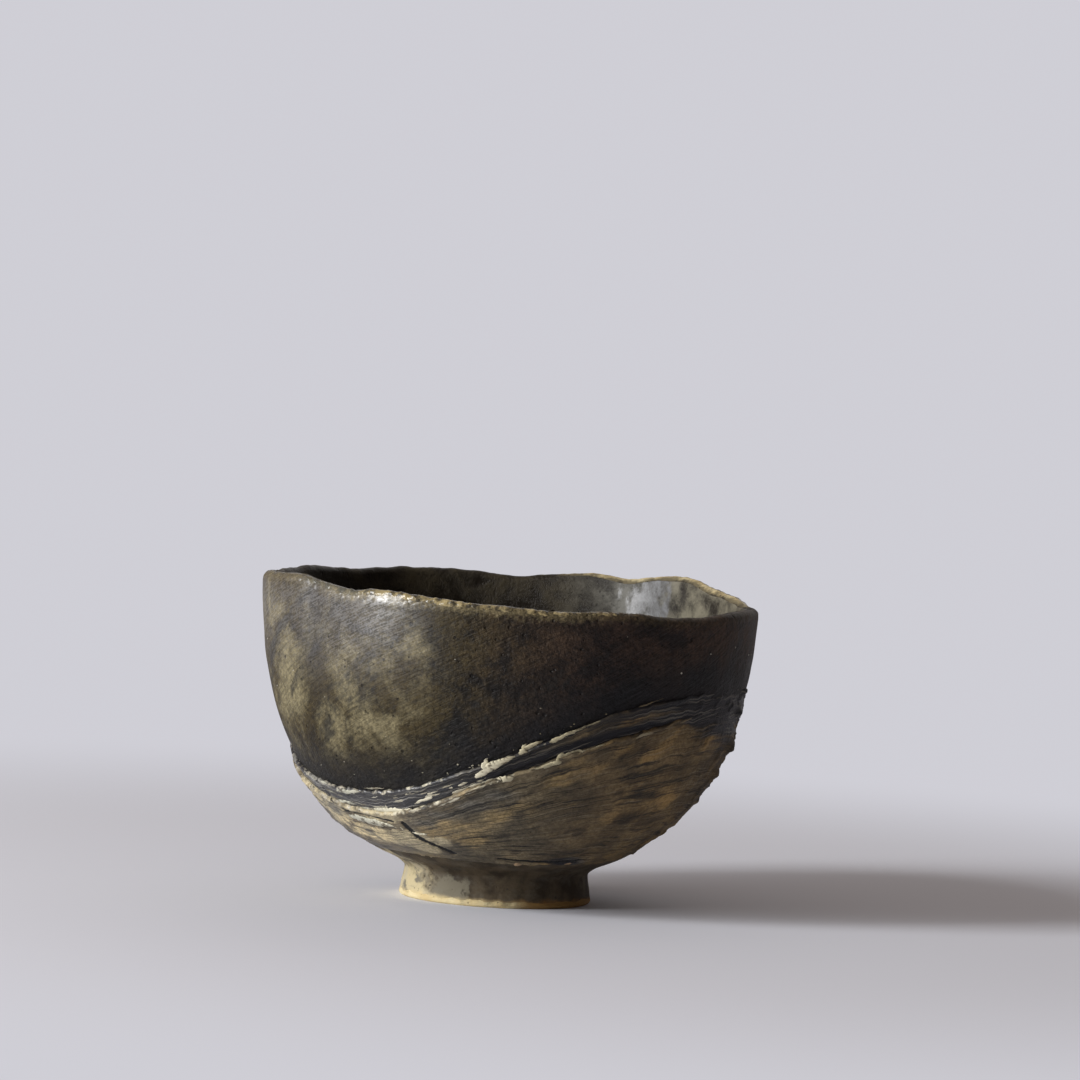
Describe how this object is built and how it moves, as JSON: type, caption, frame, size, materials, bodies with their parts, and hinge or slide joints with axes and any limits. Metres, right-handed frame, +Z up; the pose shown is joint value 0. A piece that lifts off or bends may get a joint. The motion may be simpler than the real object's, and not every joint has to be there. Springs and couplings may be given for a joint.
{
  "type": "sake cup",
  "caption": "Hand-pinched ceramic sake cup: a wavy-lipped bowl on a luted foot ring, with brushed laps of torn slip on the lower wall and thin dark glaze above and inside.",
  "frame": {"origin": "centre of the foot ring's resting face, on the table", "axes": "+Z up through the mouth, -Y towards the side seen in the picture, +X to the right of it"},
  "size_m": [0.0717, 0.0716, 0.0467],
  "materials": {
    "bowl_clay": "matte",
    "foot_clay": "matte",
    "luting_slip": "matte",
    "under_slip": "matte",
    "over_slip": "matte",
    "crest_slip": "matte",
    "wall_glaze": "satin",
    "well_glaze": "satin",
    "foot_glaze": "satin"
  },
  "bodies": {
    "root": {"bowl_wall": "bowl_clay", "foot_ring": "foot_clay", "luting_beads": "luting_slip", "slip_under_lap": "under_slip", "slip_over_lap": "over_slip", "slip_crests": "crest_slip", "wall_glaze": "wall_glaze", "well_glaze": "well_glaze", "foot_glaze": "foot_glaze"}
  },
  "joints": []
}
